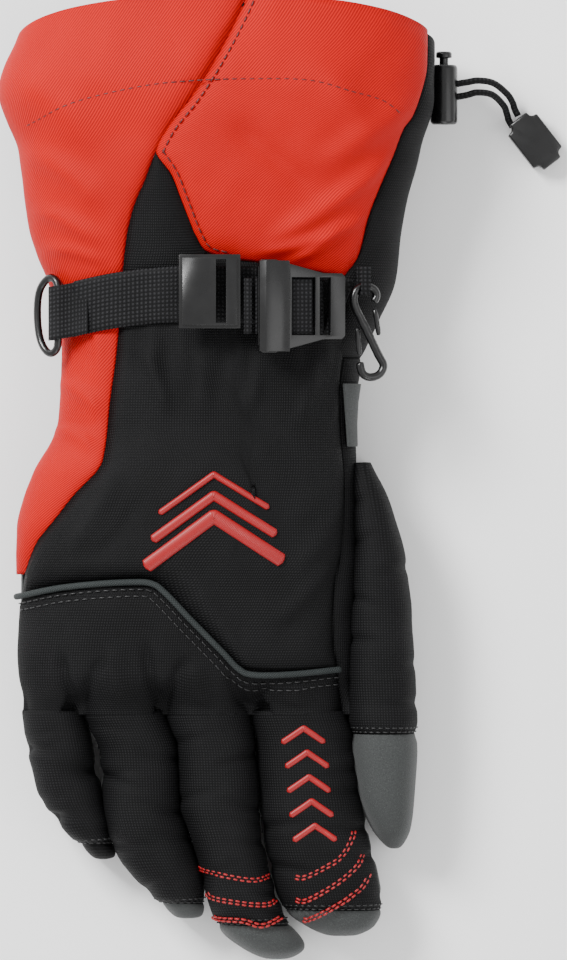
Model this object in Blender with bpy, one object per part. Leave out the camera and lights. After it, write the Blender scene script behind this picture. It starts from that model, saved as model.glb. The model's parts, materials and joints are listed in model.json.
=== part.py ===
"""Right-hand insulated ski glove: gauntlet, hand, digits, wrist strap and its hardware.

The glove lies palm down. +Z is the back of the hand, -Y the fingertips, +X the thumb.
Shapes are written in millimetres and turned into metres when a mesh is made.
"""
import math
import bisect
import bmesh
import bpy
from mathutils import Matrix, Vector

MM = 0.001
SQUARENESS = 2.5           # superellipse power of every padded section
UNDERSIDE = 0.86           # where a section's flat underside cuts its half height
TOUCH_GAP = 0.4            # clearance between neighbouring pieces

# Hand and gauntlet sections: y, left x, right x, top z. The underside lies on z = 0.
HAND = [
    (157, -75.1, 73.0, 60), (139, -82.3, 73.0, 64), (119, -75.4, 67.9, 62),
    (92, -71.5, 61.7, 57), (72, -65.3, 58.9, 53), (57, -61.0, 52.7, 51),
    (43, -59.6, 47.5, 50), (21, -61.0, 44.5, 50), (1, -70.4, 45.0, 52),
    (-18, -75.8, 45.5, 52), (-43, -76.1, 45.0, 50), (-61, -77.2, 44.5, 46),
    (-84, -74.0, 44.5, 38),
]
MOUTH_RISE = 15.8          # how far the top of the mouth stands beyond its sides
MOUTH_RISE_START = 128

# Digit sections: y, left x, right x, top z, from the base to the tip.
DIGITS = {
    "index": [(-84, 8.4, 39.1, 35), (-94, 10.5, 42.0, 34), (-112, 11.6, 44.2, 33),
              (-126, 13.1, 46.7, 32), (-144, 17.0, 51.7, 31), (-155, 20.5, 54.0, 28),
              (-161, 29.5, 51.0, 24), (-164.5, 36.0, 46.0, 19)],
    "middle": [(-84, -22.2, 6.4, 36), (-100, -17.4, 8.5, 35), (-117, -17.2, 9.6, 34),
               (-130, -12.2, 10.5, 33), (-150, -7.1, 16.0, 31), (-162, -2.5, 21.5, 29),
               (-169, 6.0, 25.5, 25), (-172.8, 13.0, 22.0, 19)],
    "ring": [(-84, -51.4, -24.2, 35), (-99, -44.6, -20.2, 34), (-115, -44.2, -19.4, 33),
             (-133, -40.6, -14.6, 32), (-145, -31.5, -11.3, 29), (-153, -23.5, -10.2, 25),
             (-157.9, -18.0, -11.0, 19)],
    "little": [(-84, -73.5, -54.4, 33), (-94, -72.5, -53.4, 33), (-105, -70.0, -51.4, 32),
               (-115, -67.0, -47.3, 31), (-127, -57.5, -44.6, 28), (-133, -52.0, -43.2, 24),
               (-136.5, -48.0, -43.0, 19)],
    "thumb": [(-10, 47.8, 59.0, 31), (-17, 47.2, 61.0, 33), (-27, 46.8, 63.0, 34),
              (-40, 46.4, 64.6, 35), (-62, 46.2, 66.1, 35), (-92, 46.2, 67.1, 34),
              (-113, 48.4, 66.1, 32), (-126, 52.0, 65.0, 27), (-132.8, 57.0, 62.5, 19)],
}
KNUCKLE = Vector((0, -84, 17))           # the four fingers flex about this line
THUMB_PIVOT = Vector((54.5, -12, 17))    # the thumb swings about a vertical line here

# Seams on the back, as x at falling y.
CENTRE_SEAM = [(172, 7.4), (162, -1.3), (143, -12.8), (130, -20.7), (117, -26.1)]
LEFT_RED_EDGE = CENTRE_SEAM + [(106, -30.4), (88, -36.5), (76, -38.0), (43, -40.9), (28, -43.0),
                               (12, -45.0), (1, -48.4), (-5, -55.6), (-14, -62.8), (-23, -70.4),
                               (-36, -75.4)]
RIGHT_RED_EDGE = CENTRE_SEAM + [(109, -20.7), (100, -17.1), (88, -12.4), (80.6, -8.1)]
GUSSET_EDGE = [(158, 71.8), (149, 71.5), (133, 66.8), (127, 62.8), (116, 59.2), (104, 54.2),
               (94, 50.2), (80, 46.6), (72, 45.6)]
KNUCKLE_EDGE = [(-37, -28.3), (-39.2, -23.6), (-49.7, -13.9), (-61.9, -2.0), (-69, 5.5)]

OUTER_ROWS = [147, 139, 128, 117, 109, 99, 88, 80.6, 80.2, 68, 56, 43, 30, 15, 0, -12, -24,
              -36.6, -37.0, -48, -58, -68.8, -69.2, -76, -83.7]
PANEL_TOP = 153.6          # the hem binding closes the mouth above this row
PALM_END = -66.0           # the finger bases sweep below the knuckle line up to here
PANEL = 2.6                # padded outer fabric
LEATHER = 1.3

# Inner sleeves: inset from the outer surface, thickness, mouth end
INSULATION = (5.6, 1.8, 139.0)
MEMBRANE = (7.9, 0.6, 150.0)
LINER = (9.0, 1.2, 154.0)

DIGIT_SKIN_INSET = 1.4
DIGIT_SKIN = 1.4
DIGIT_LINING_INSET = 3.7
DIGIT_LINING = 1.2

WEB_WIDTH = 20.0
STRAP_MIDDLE = [(-62, 60.0), (-40, 64.5), (-18, 66.6), (8, 66.0), (25, 64.0), (40, 61.5)]

LOCK_CENTRE = Vector((25.1, 62.0, 55.2))
LOCK_TILT = math.radians(12.2)
HOOK_CENTRE = Vector((49.3, 53.3, 50.0))
HOOK_TILT = math.radians(15)
RING_BAR = Vector((-61.6, 59.0, 42.0))
CORD_LOCK = Vector((77.4, 139.2, 18.0))  # middle of the barrel, its axis along Y
STRAND_RADIUS = 1.2
CORD_END = Vector((110.3, 123.5, 4.15))
CORD_END_TURN = math.atan2(-0.79, 0.61)

COLOURS = {
    "black_fabric": ((0.025, 0.025, 0.027, 1), 0.85), "red_fabric": ((0.80, 0.045, 0.03, 1), 0.8),
    "grey_leather": ((0.07, 0.077, 0.075, 1), 0.9), "piping": ((0.05, 0.056, 0.056, 1), 0.8),
    "webbing": ((0.015, 0.015, 0.017, 1), 0.8), "plastic": ((0.02, 0.02, 0.021, 1), 0.4),
    "lining": ((0.1, 0.1, 0.11, 1), 0.95), "padding": ((0.7, 0.7, 0.68, 1), 0.95),
    "film": ((0.6, 0.62, 0.65, 1), 0.4), "steel": ((0.6, 0.6, 0.6, 1), 0.3),
}


def clear_scene():
    for item in list(bpy.data.objects):
        bpy.data.objects.remove(item, do_unlink=True)


def material(name):
    found = bpy.data.materials.get(name)
    if found:
        return found
    made = bpy.data.materials.new(name)
    made.use_nodes = True
    shader = made.node_tree.nodes["Principled BSDF"]
    colour, roughness = COLOURS[name]
    shader.inputs["Base Color"].default_value = colour
    shader.inputs["Roughness"].default_value = roughness
    shader.inputs["Metallic"].default_value = 1.0 if name == "steel" else 0.0
    made.diffuse_color = colour
    return made


def pivot(name, place):
    """An empty on a joint's axis, the parent of what moves there."""
    made = bpy.data.objects.get(name)
    if made is None:
        made = bpy.data.objects.new(name, None)
        bpy.context.collection.objects.link(made)
        made.location = Vector(place) * MM
    return made


def add(name, bm, colour, on=None, smooth_angle=35):
    """Turn a bmesh in millimetres into a named object, hung on its pivot if it moves."""
    bmesh.ops.recalc_face_normals(bm, faces=bm.faces)
    bmesh.ops.scale(bm, vec=(MM, MM, MM), verts=bm.verts)
    mesh = bpy.data.meshes.new(name)
    bm.to_mesh(mesh)
    bm.free()
    mesh.shade_smooth()
    mesh.set_sharp_from_angle(angle=math.radians(smooth_angle))
    made = bpy.data.objects.new(name, mesh)
    bpy.context.collection.objects.link(made)
    made.data.materials.append(material(colour))
    if on is not None:
        made.parent = on
        made.location = -on.location
    return made


def smooth_row(table, y):
    """The values of a table's columns at y, on a curve that never overshoots its rows."""
    rows = sorted(table)
    ys = [row[0] for row in rows]
    y = min(max(y, ys[0]), ys[-1])
    i = min(max(bisect.bisect_right(ys, y) - 1, 0), len(rows) - 2)
    span = ys[i + 1] - ys[i]
    t = (y - ys[i]) / span

    def slope(k, column):
        if k in (0, len(rows) - 1):
            j = min(k, len(rows) - 2)
            return (rows[j + 1][column] - rows[j][column]) / (ys[j + 1] - ys[j])
        before = (rows[k][column] - rows[k - 1][column]) / (ys[k] - ys[k - 1])
        after = (rows[k + 1][column] - rows[k][column]) / (ys[k + 1] - ys[k])
        return 0 if before * after <= 0 else 2 * before * after / (before + after)

    values = []
    for column in range(1, len(rows[0])):
        low, high = rows[i][column], rows[i + 1][column]
        values.append((2 * t**3 - 3 * t**2 + 1) * low + (t**3 - 2 * t**2 + t) * span * slope(i, column)
                      + (3 * t**2 - 2 * t**3) * high + (t**3 - t**2) * span * slope(i + 1, column))
    return values


def line_at(points, y):
    """x of a seam at y, straight between its points."""
    points = sorted(points)
    if y <= points[0][0]:
        return points[0][1]
    for (y0, x0), (y1, x1) in zip(points, points[1:]):
        if y <= y1:
            return x0 + (x1 - x0) * (y - y0) / (y1 - y0)
    return points[-1][1]


def section(table, y):
    """Middle x, half width, middle z and half height of a section."""
    left, right, top = smooth_row(table, y)
    half_height = top / (1 + UNDERSIDE)
    return (left + right) / 2, (right - left) / 2, UNDERSIDE * half_height, half_height


def skin(table, y, angle, inset=0.0):
    """A point on a section at an angle from +X, a given depth below the outer surface."""
    middle_x, half_width, middle_z, half_height = section(table, y)
    half_width, half_height = half_width - inset, half_height - inset
    cos, sin = math.cos(angle), math.sin(angle)
    power = 2 / SQUARENESS
    x = middle_x + half_width * math.copysign(abs(cos) ** power, cos)
    z = middle_z + half_height * math.copysign(abs(sin) ** power, sin)
    rise = 0.0
    if table is HAND and y > MOUTH_RISE_START and sin > 0:
        rise = MOUTH_RISE * min((y - MOUTH_RISE_START) / (157 - MOUTH_RISE_START), 1) ** 2 * sin
    return Vector((x, y + rise, max(z, inset)))


def angle_at(table, y, x):
    """The angle on the upper side of a section where it passes x."""
    middle_x, half_width, _, _ = section(table, y)
    u = min(max((x - middle_x) / half_width, -1), 1)
    return math.acos(math.copysign(abs(u) ** (SQUARENESS / 2), u))


def panel(name, table, rows, start, stop, columns, inset, thickness, colour, on=None):
    """A curved sheet between two angles that may change from row to row."""
    bm = bmesh.new()
    layers = []
    for depth in (inset, inset + thickness):
        grid = []
        for y in rows:
            first, last = start(y), stop(y)
            steps = [first + (last - first) * k / columns for k in range(columns + 1)]
            grid.append([bm.verts.new(skin(table, y, a, depth)) for a in steps])
        layers.append(grid)
    for grid in layers:
        for low, high in zip(grid, grid[1:]):
            for k in range(columns):
                bm.faces.new((low[k], low[k + 1], high[k + 1], high[k]))
    outer, inner = layers
    for i in range(len(rows) - 1):
        for k in (0, columns):
            bm.faces.new((outer[i][k], outer[i + 1][k], inner[i + 1][k], inner[i][k]))
    for i in (0, len(rows) - 1):
        for k in range(columns):
            bm.faces.new((outer[i][k], outer[i][k + 1], inner[i][k + 1], inner[i][k]))
    return add(name, bm, colour, on)


def sleeve(name, table, rows, columns, inset, thickness, colour, closed=0.0, on=None):
    """A tube all round the sections; closed > 0 shuts its last end with that much material."""
    bm = bmesh.new()
    steps = [2 * math.pi * k / columns for k in range(columns)]
    inner_rows = list(rows)
    if closed:
        inner_rows[-1] = rows[-1] + math.copysign(closed, rows[0] - rows[-1])
    outer = [[bm.verts.new(skin(table, y, a, inset)) for a in steps] for y in rows]
    inner = [[bm.verts.new(skin(table, y, a, inset + thickness)) for a in steps] for y in inner_rows]
    for grid in (outer, inner):
        for low, high in zip(grid, grid[1:]):
            for k in range(columns):
                n = (k + 1) % columns
                bm.faces.new((low[k], low[n], high[n], high[k]))
    ends = [0] if closed else [0, -1]
    for i in ends:
        for k in range(columns):
            n = (k + 1) % columns
            bm.faces.new((outer[i][k], outer[i][n], inner[i][n], inner[i][k]))
    if closed:
        bm.faces.new(outer[-1])
        bm.faces.new(inner[-1])
    return add(name, bm, colour, on)


def bar(bm, low, high):
    """A box between two corners."""
    low, high = Vector(low), Vector(high)
    made = bmesh.ops.create_cube(bm, size=1)["verts"]
    bmesh.ops.scale(bm, vec=high - low, verts=made)
    bmesh.ops.translate(bm, vec=(low + high) / 2, verts=made)
    return made


def prism(outline, low, high):
    """An outline in x and y carried from one height to another."""
    bm = bmesh.new()
    base = bm.faces.new([bm.verts.new((x, y, low)) for x, y in outline])
    top = bmesh.ops.extrude_face_region(bm, geom=[base])["geom"]
    moved = [v for v in top if isinstance(v, bmesh.types.BMVert)]
    bmesh.ops.translate(bm, vec=(0, 0, high - low), verts=moved)
    return bm


def tube(name, points, radius, colour, closed=False, on=None, sides=8):
    """A round rod along points, its ends filled."""
    bm = bmesh.new()
    points = [Vector(p) for p in points]
    rings = []
    side = None
    for i, point in enumerate(points):
        if closed:
            along = points[(i + 1) % len(points)] - points[i - 1]
        else:
            along = points[min(i + 1, len(points) - 1)] - points[max(i - 1, 0)]
        along.normalize()
        side = (side or along.orthogonal())
        side = (side - along * side.dot(along)).normalized()
        up = along.cross(side)
        turns = [2 * math.pi * k / sides for k in range(sides)]
        rings.append([bm.verts.new(point + radius * (side * math.cos(a) + up * math.sin(a)))
                      for a in turns])
    pairs = list(zip(rings, rings[1:]))
    if closed:
        first, last = rings[0], rings[-1]
        shift = min(range(sides), key=lambda s: sum(
            (last[k].co - first[(k + s) % sides].co).length for k in range(sides)))
        pairs.append((last, first[shift:] + first[:shift]))
    for low, high in pairs:
        for k in range(sides):
            n = (k + 1) % sides
            bm.faces.new((low[k], low[n], high[n], high[k]))
    if not closed:
        bm.faces.new(rings[0])
        bm.faces.new(rings[-1])
    return add(name, bm, colour, on)


def curve_through(points, count, closed=False):
    """Points on a smooth curve through the given ones (Catmull-Rom)."""
    points = [Vector(p) for p in points]
    n = len(points)
    spans = n if closed else n - 1
    result = []
    for step in range(count + (0 if closed else 1)):
        t = step * spans / count
        i = min(int(t), spans - 1)
        t -= i
        if closed:
            a, b, c, d = (points[(i + k) % n] for k in (-1, 0, 1, 2))
        else:
            b, c = points[i], points[i + 1]
            a = points[i - 1] if i else 2 * b - c
            d = points[i + 2] if i + 2 < n else 2 * c - b
        result.append(0.5 * (2 * b + (c - a) * t + (2 * a - 5 * b + 4 * c - d) * t * t
                             + (3 * b - a - 3 * c + d) * t**3))
    return result


def cut(target, cutters):
    """Boolean differences, applied so that the cutters can go."""
    for cutter in cutters:
        step = target.modifiers.new("cut", "BOOLEAN")
        step.operation = "DIFFERENCE"
        step.object = cutter
        cutter.hide_render = True
        cutter.display_type = "WIRE"


def rows_between(high, low):
    """The shared rows of the hand from one y down to another, both ends included."""
    inside = [y for y in OUTER_ROWS if low + 0.01 < y < high - 0.01]
    return [high] + inside + [low]


def make_gauntlet():
    half_gap = TOUCH_GAP
    side = 0.012                                     # radians kept clear at the side seams

    def left_red_stop(y):
        return angle_at(HAND, y, line_at(LEFT_RED_EDGE, y) - half_gap)

    def right_red_start(y):
        return angle_at(HAND, y, line_at(GUSSET_EDGE, y) - half_gap)

    def right_red_stop(y):
        return angle_at(HAND, y, line_at(RIGHT_RED_EDGE, y) + half_gap)

    panel("gauntlet_left_panel", HAND, rows_between(PANEL_TOP, -24), left_red_stop,
          lambda y: math.pi - side, 9, 0, PANEL, "red_fabric")
    panel("gauntlet_right_panel", HAND, rows_between(PANEL_TOP, 80.8), right_red_start,
          right_red_stop, 9, 0, PANEL, "red_fabric")
    panel("side_gusset", HAND, rows_between(PANEL_TOP, 80.8), lambda y: side,
          lambda y: angle_at(HAND, y, line_at(GUSSET_EDGE, y) + half_gap), 4, 0, PANEL,
          "black_fabric")
    panel("gauntlet_underside", HAND, rows_between(PANEL_TOP, 46), lambda y: math.pi + side,
          lambda y: 2 * math.pi - side, 14, 0, LEATHER, "black_fabric")


def make_back():
    side = 0.012

    def left_seam(y):
        return math.pi - side if y < -24 else angle_at(HAND, y, line_at(LEFT_RED_EDGE, y) + TOUCH_GAP)

    def wedge_start(y):
        return angle_at(HAND, y, line_at(RIGHT_RED_EDGE, y) - TOUCH_GAP)

    def welt_right(y):
        return angle_at(HAND, y, line_at(KNUCKLE_EDGE, y) + TOUCH_GAP)

    def welt_left(y):
        return angle_at(HAND, y, line_at(KNUCKLE_EDGE, y) - TOUCH_GAP)

    panel("gauntlet_wedge", HAND, rows_between(116, 80.8), wedge_start, left_seam, 4, 0, PANEL,
          "black_fabric")
    panel("back_panel", HAND, rows_between(80.2, -36.6), lambda y: side, left_seam, 12, 0, PANEL,
          "black_fabric")
    panel("back_panel_lower", HAND, rows_between(-37.2, -68.8), lambda y: side, welt_right, 8, 0,
          PANEL, "black_fabric")
    panel("knuckle_panel", HAND, rows_between(-37.2, -68.8), welt_left, lambda y: math.pi - side,
          8, 0, PANEL, "black_fabric")
    panel("finger_root_panel", HAND, rows_between(-69.4, -83.7), lambda y: side,
          lambda y: math.pi - side, 12, 0, PANEL, "black_fabric")
    welt = [(-74.0, -42.0), (-62.1, -38.9), (-45, -37.0), (-31, -36.6), (-25, -38.8), (-13.9, -49.7),
            (-2, -61.9), (3.5, -67.5), (9, -69.3), (22, -69.4), (36, -68.9)]
    seat = -2.1                                      # the welt stands on the panels
    points = [skin(HAND, y, angle_at(HAND, y, x), seat) for x, y in welt]
    tube("knuckle_piping", curve_through(points, 24), 1.0, "piping", sides=6)


def make_palm():
    side = 0.012
    panel("palm_panel", HAND, rows_between(45, PALM_END), lambda y: math.pi + side,
          lambda y: 2 * math.pi - side, 14, 1.6, LEATHER, "grey_leather")
    panel("palm_patch", HAND, rows_between(38, -58), lambda y: 1.22 * math.pi,
          lambda y: 1.78 * math.pi, 8, 0, 1.2, "grey_leather")


def make_inner_layers():
    for name, (inset, thickness, mouth), colour in (
            ("insulation_sleeve", INSULATION, "padding"), ("membrane_sleeve", MEMBRANE, "film"),
            ("liner_sleeve", LINER, "lining")):
        rows = [mouth] + [y for y in (128, 109, 88, 68, 56, 43, 30, 15, 0, -24, -48) if y < mouth]
        sleeve(name, HAND, rows + [PALM_END], 20, inset, thickness, colour)
    sleeve("gauntlet_hem", HAND, [157, 155.6, 154.2], 24, 0, 2.6, "black_fabric")
    rim = [skin(HAND, 148, 2 * math.pi * k / 28, 4.6) for k in range(28)]
    tube("hem_drawcord", rim, 1.2, "webbing", closed=True, sides=6)


def make_digit(name, on):
    table = DIGITS[name]
    base, tip = table[0][0], table[-1][0]
    length = base - tip
    rows = [base - 0.3] + [base - length * f for f in (0.14, 0.32, 0.5, 0.68, 0.82, 0.91, 0.96)]
    side = 0.03
    columns = 8
    panel(name + "_back", table, rows, lambda y: side, lambda y: math.pi - side, columns,
          DIGIT_SKIN_INSET, DIGIT_SKIN, "black_fabric", on)
    panel(name + "_palm", table, rows, lambda y: math.pi + side, lambda y: 2 * math.pi - side,
          columns, DIGIT_SKIN_INSET, DIGIT_SKIN, "grey_leather", on)
    lining_rows = [base - 0.6] + [base - length * f for f in (0.14, 0.32, 0.5, 0.68, 0.82, 0.86)]
    sleeve(name + "_lining", table, lining_rows, 16, DIGIT_LINING_INSET, DIGIT_LINING, "lining",
           closed=2.5, on=on)
    if name != "little":
        patch_rows = [base - length * f for f in (0.82, 0.91, 0.96, 1.0)]
        sleeve(name + "_tip_patch", table, patch_rows, 16, 0, 1.0, "grey_leather", closed=1.2,
               on=on)


def make_strap():
    def middle(angle_from, angle_to, inset, name, thickness, colour):
        bm = bmesh.new()
        steps = 16
        rows = []
        for k in range(steps + 1):
            angle = angle_from + (angle_to - angle_from) * k / steps
            x = skin(HAND, 63, angle).x
            centre = line_at([(p, q) for p, q in STRAP_MIDDLE], x)
            corners = [skin(HAND, centre + s * WEB_WIDTH / 2, angle, depth)
                       for s, depth in ((1, inset), (-1, inset), (-1, inset - thickness),
                                        (1, inset - thickness))]
            rows.append([bm.verts.new(c) for c in corners])
        for low, high in zip(rows, rows[1:]):
            for k in range(4):
                n = (k + 1) % 4
                bm.faces.new((low[k], low[n], high[n], high[k]))
        bm.faces.new(rows[0])
        bm.faces.new(rows[-1])
        return add(name, bm, colour)

    left = angle_at(HAND, 63, -54.5)
    right = angle_at(HAND, 63, 33.0)
    middle(left, right, -1.2, "wrist_strap", 1.6, "webbing")
    middle(angle_at(HAND, 63, 35.5), angle_at(HAND, 63, 40.0), -1.2, "buckle_web_loop", 1.6,
           "webbing")


def to_lock(point):
    return Matrix.Translation(LOCK_CENTRE) @ Matrix.Rotation(LOCK_TILT, 4, "Y") @ Vector(point)


def placed(bm, centre, tilt):
    bm.transform(Matrix.Translation(centre) @ Matrix.Rotation(tilt, 4, "Y"))
    return bm


def make_buckle():
    lock_pivot = pivot("buckle_pivot", to_lock((13.2, 0, 2.0)))
    outline = [(-15.8, 13.8), (-14.6, 16.6), (-9.5, 16.6), (1, 13.6), (8, 11.8), (14.6, 11.8),
               (15.9, 10.5), (15.9, -10.5), (14.6, -11.8), (8, -11.8), (1, -13.6), (-9.5, -16.6),
               (-14.6, -16.6), (-15.8, -13.8)]
    body = add("ladder_lock", placed(prism(outline, 0, 4), LOCK_CENTRE, LOCK_TILT), "plastic",
               lock_pivot)
    lip = bmesh.new()
    profile = [(-15.6, 3.0), (-15.6, 5.2), (-13.6, 7.0), (-8.5, 7.0), (-4.6, 5.0), (-4.2, 3.0)]
    ends = [[lip.verts.new((x, y, z)) for x, z in profile] for y in (-16.2, 16.2)]
    for k in range(len(profile)):
        n = (k + 1) % len(profile)
        lip.faces.new((ends[0][k], ends[0][n], ends[1][n], ends[1][k]))
    lip.faces.new(ends[0])
    lip.faces.new(ends[1])
    lip = add("lip_guide", placed(lip, LOCK_CENTRE, LOCK_TILT), "plastic", lock_pivot)
    lip.hide_render = True
    lip.display_type = "WIRE"
    joined = body.modifiers.new("lip", "BOOLEAN")
    joined.operation = "UNION"
    joined.object = lip
    cutters = []
    for label, low, high in (("lip_pocket", (-17, -10.8, -1), (-3.0, 10.8, 3.6)),
                             ("wide_window", (-3.6, -10.3, -1), (5.0, 10.3, 6)),
                             ("narrow_window", (6.6, -10.3, -1), (10.6, 10.3, 6))):
        bm = bmesh.new()
        bar(bm, low, high)
        cutters.append(add(label, placed(bm, LOCK_CENTRE, LOCK_TILT), "plastic", lock_pivot))
    cut(body, cutters)

    bight = bmesh.new()
    bar(bight, (-16.4, -10.0, 0.6), (4.4, 10.0, 2.4))
    add("strap_bight", placed(bight, LOCK_CENTRE, LOCK_TILT), "webbing", lock_pivot)

    tail_pivot = pivot("strap_tail_pivot", to_lock((-17.2, 0, 1.5)))
    tail = bmesh.new()
    bar(tail, (-20.6, -10.0, 0.6), (-17.8, 10.0, 2.4))
    add("strap_tail", placed(tail, LOCK_CENTRE, LOCK_TILT), "webbing", tail_pivot)
    bm = bmesh.new()
    bar(bm, (-17.8, 54.0, 58.4), (4.1, 80.4, 63.8))
    edges = [e for e in bm.edges if abs(e.verts[0].co.z - e.verts[1].co.z) < 0.1]
    bmesh.ops.bevel(bm, geom=edges, offset=1.2, segments=2, affect="EDGES")
    tab = add("pull_tab", bm, "plastic", tail_pivot)
    bm = bmesh.new()
    bar(bm, (-4.6, 56.0, 55.0), (-1.0, 78.6, 66.0))
    cut(tab, [add("tab_slot", bm, "plastic", tail_pivot)])


def make_side_ring():
    ring_pivot = pivot("side_ring_pivot", RING_BAR)
    x, y, z = RING_BAR
    outline = [(x, y + 11.5, z), (x, y + 4, z), (x, y - 4, z), (x, y - 11.5, z), (x - 3, y - 13.6, z - 2.4),
               (x - 6.2, y - 9, z - 5), (x - 7.4, y, z - 6), (x - 6.6, y + 9, z - 5.2),
               (x - 3, y + 13.6, z - 2.4)]
    tube("side_ring", curve_through(outline, 27, closed=True), 1.5, "plastic", closed=True,
         on=ring_pivot)


def make_hook():
    hang = Vector((-1.2, 16.0, 0))
    frame = Matrix.Translation(HOOK_CENTRE) @ Matrix.Rotation(HOOK_TILT, 4, "Y")
    hook_pivot = pivot("hook_pivot", frame @ hang)
    path = [(2.6, 10.4), (3.6, 13.0), (2.0, 15.4), (-1.2, 16.0), (-4.0, 14.6), (-5.0, 11.6), (-4.2, 8.0),
            (0, 0), (4.2, -8.6), (6.2, -12.2), (4.7, -15.5), (1.1, -16.6), (-1.8, -15.1),
            (-2.7, -11.2)]
    smooth_path = curve_through([(x, y, 0) for x, y in path], 30)
    tube("snap_hook", [frame @ p for p in smooth_path], 1.6, "plastic", on=hook_pivot)
    upper = pivot("upper_gate_pivot", frame @ Vector((4.4, -1.6, 0)))
    tube("upper_gate", [frame @ Vector(p) for p in ((4.4, -1.6, 0), (3.6, 4, 0), (2.7, 8.0, 0))],
         1.1, "plastic", on=upper, sides=6)
    lower = pivot("lower_gate_pivot", frame @ Vector((-3.6, 1.4, 0)))
    tube("lower_gate", [frame @ Vector(p) for p in ((-3.6, 1.4, 0), (-3.2, -4, 0), (-2.8, -8.8, 0))],
         1.1, "plastic", on=lower, sides=6)
    ribbon = bmesh.new()
    half_width, inner, outer, legs = 1.8, 2.6, 3.4, 7.0
    arc = [math.radians(90 + 180 * k / 8) for k in range(9)]
    profile = [(legs, outer)] + [(outer * math.cos(a), outer * math.sin(a)) for a in arc]
    profile += [(legs, -outer), (legs, -inner)]
    profile += [(inner * math.cos(a), inner * math.sin(a)) for a in reversed(arc)] + [(legs, inner)]
    ends = [[ribbon.verts.new(frame @ Vector((hang.x + s * half_width, hang.y + v, w)))
             for v, w in profile] for s in (-1, 1)]
    for k in range(len(profile)):
        n = (k + 1) % len(profile)
        ribbon.faces.new((ends[0][k], ends[0][n], ends[1][n], ends[1][k]))
    ribbon.faces.new(ends[0])
    ribbon.faces.new(ends[1])
    add("hook_loop", ribbon, "webbing")


def make_wrist_tab():
    panel("wrist_tab", HAND, [34.6, 28, 20, 12], lambda y: 0.16,
          lambda y: angle_at(HAND, y, 39.5 + (34.6 - y) * 0.07), 4, -2.2, 1.0, "grey_leather")


def turned(profile, centre, sides=16):
    """A solid turned about Y; profile lists radius and distance along Y, ending on the axis."""
    bm = bmesh.new()
    rings = []
    for radius, along in profile:
        if radius == 0:
            rings.append([bm.verts.new(centre + Vector((0, along, 0)))])
            continue
        turns = [2 * math.pi * k / sides for k in range(sides)]
        rings.append([bm.verts.new(centre + Vector((radius * math.cos(a), along,
                                                     radius * math.sin(a)))) for a in turns])
    for low, high in zip(rings, rings[1:]):
        for k in range(sides):
            n = (k + 1) % sides
            corners = []
            for vert in (low[k % len(low)], low[n % len(low)], high[n % len(high)],
                         high[k % len(high)]):
                if vert not in corners:
                    corners.append(vert)
            bm.faces.new(corners)
    return bm


def make_cord_lock():
    barrel = [(0, -10.7), (4.2, -10.7), (4.9, -9.8), (4.9, 9.9), (4.3, 10.8), (3.4, 10.8),
              (3.4, -7.0), (0, -7.0)]
    add("cord_lock_body", turned(barrel, CORD_LOCK), "plastic")
    plunger_pivot = pivot("plunger_pivot", CORD_LOCK)
    plunger = [(0, 15.6), (2.4, 15.6), (2.9, 15.0), (2.9, 13.4), (1.6, 13.2), (1.6, 9.0), (3.1, 8.6),
               (3.1, -2.0), (2.3, -2.0), (2.3, 3.0), (0, 3.0)]
    add("cord_lock_plunger", turned(plunger, CORD_LOCK), "plastic", plunger_pivot)
    coils, steps = 4, 8
    helix = []
    for k in range(coils * steps + 1):
        a = 2 * math.pi * k / steps
        helix.append(CORD_LOCK + Vector((1.6 * math.cos(a), -6.2 + 4.2 * k / (coils * steps),
                                         1.6 * math.sin(a))))
    tube("cord_lock_spring", helix, 0.3, "steel", sides=5)


def make_cords():
    routes = {
        "drawcord_strand_a": [(82.8, 143.3, 18), (86, 143.8, 18), (90, 144.4, 17.2), (95.5, 143.6, 13.6),
                              (100.5, 140.0, 8.2), (102.6, 137.0, 5.2), (103.3, 134.9, 4.2)],
        "drawcord_strand_b": [(82.8, 138.6, 18), (86, 139.2, 18.1), (89.6, 140.1, 17.6), (95, 139.4, 14.2),
                              (99.2, 135.8, 8.6), (100.6, 132.6, 5.2), (101.2, 130.6, 4.2)],
    }
    for name, route in routes.items():
        tube(name, curve_through(route, 20), STRAND_RADIUS, "webbing", sides=6)
    for name, low, high in (("cord_end_base", 0.35, 4.4), ("cord_end_lid", 4.8, 8.3)):
        bm = bmesh.new()
        bar(bm, (-9.6, -6.5, low - CORD_END.z), (11.0, 6.5, high - CORD_END.z))
        upright = [e for e in bm.edges if abs(e.verts[0].co.z - e.verts[1].co.z) > 0.1]
        bmesh.ops.bevel(bm, geom=upright, offset=2.6, segments=3, affect="EDGES")
        bm.transform(Matrix.Translation(CORD_END) @ Matrix.Rotation(CORD_END_TURN, 4, "Z"))
        add(name, bm, "plastic")


def main():
    clear_scene()
    make_gauntlet()
    make_back()
    make_palm()
    make_inner_layers()
    for name in DIGITS:
        hinge = THUMB_PIVOT if name == "thumb" else KNUCKLE
        make_digit(name, pivot(name + "_pivot", hinge))
    make_strap()
    make_buckle()
    make_side_ring()
    make_hook()
    make_wrist_tab()
    make_cord_lock()
    make_cords()
    bpy.context.view_layer.update()


main()
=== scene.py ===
"""Looks of the ski glove: fabric panels, seams, stitches, webbing and moulded parts on the CAD frame.

Lengths are in millimetres inside the shape functions and in metres on the objects.
"""
import json
import math

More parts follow.
